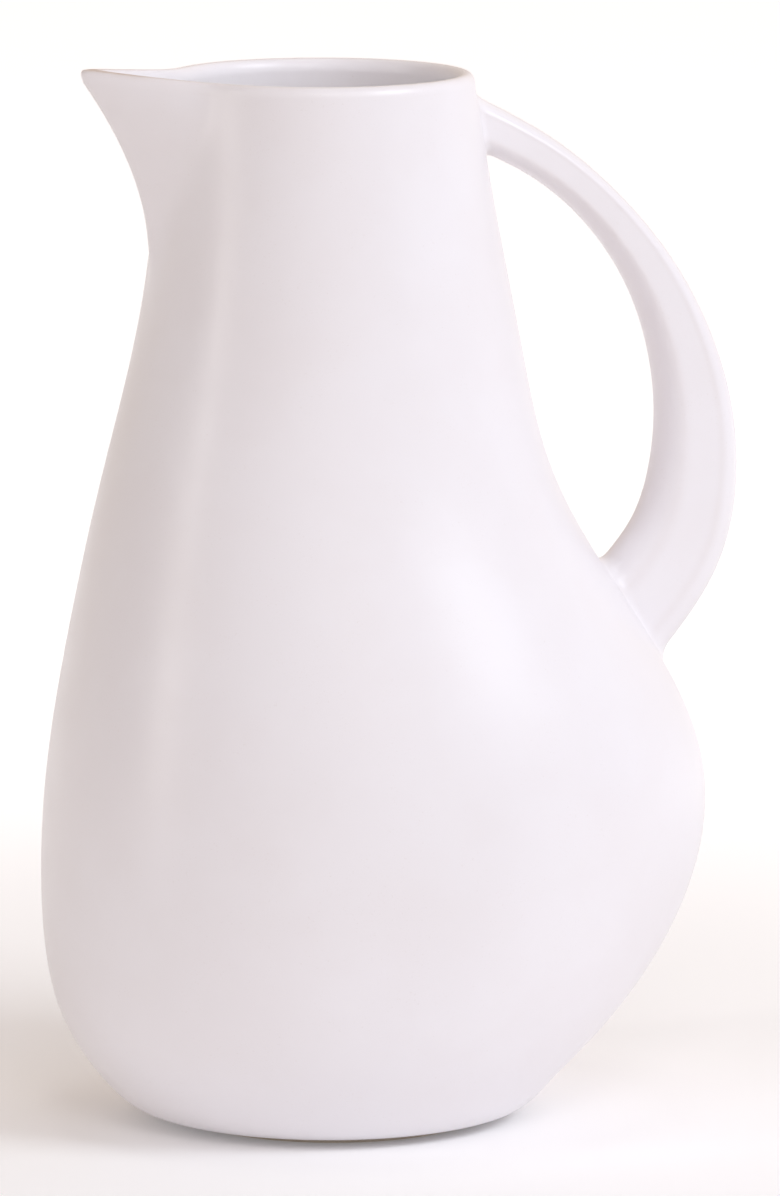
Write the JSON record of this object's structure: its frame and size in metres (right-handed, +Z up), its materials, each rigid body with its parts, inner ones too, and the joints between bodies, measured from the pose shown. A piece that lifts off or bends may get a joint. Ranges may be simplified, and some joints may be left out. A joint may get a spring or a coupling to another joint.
{
  "type": "ceramic pitcher",
  "caption": "Tall satin white ceramic pitcher with a belly that leans out to the back, a tapered neck, a pinched beak and one strap handle.",
  "frame": {"origin": "The centre of the foot ring, on the table plane", "axes": "+Z is up, -X is the beak's side, +X is the handle's side, and the XZ plane is the mirror plane"},
  "size_m": [0.1842, 0.1492, 0.2725],
  "materials": {
    "glaze": "satin",
    "lip_glaze": "satin",
    "bare_clay": "matte"
  },
  "bodies": {
    "root": {"foot_ring": "bare_clay", "base_floor": "glaze", "belly_shell": "glaze", "neck_shell": "glaze", "spout": "glaze", "rim_lip": "lip_glaze", "handle_upper_joint": "glaze", "handle": "glaze", "handle_lower_joint": "glaze"}
  },
  "joints": []
}
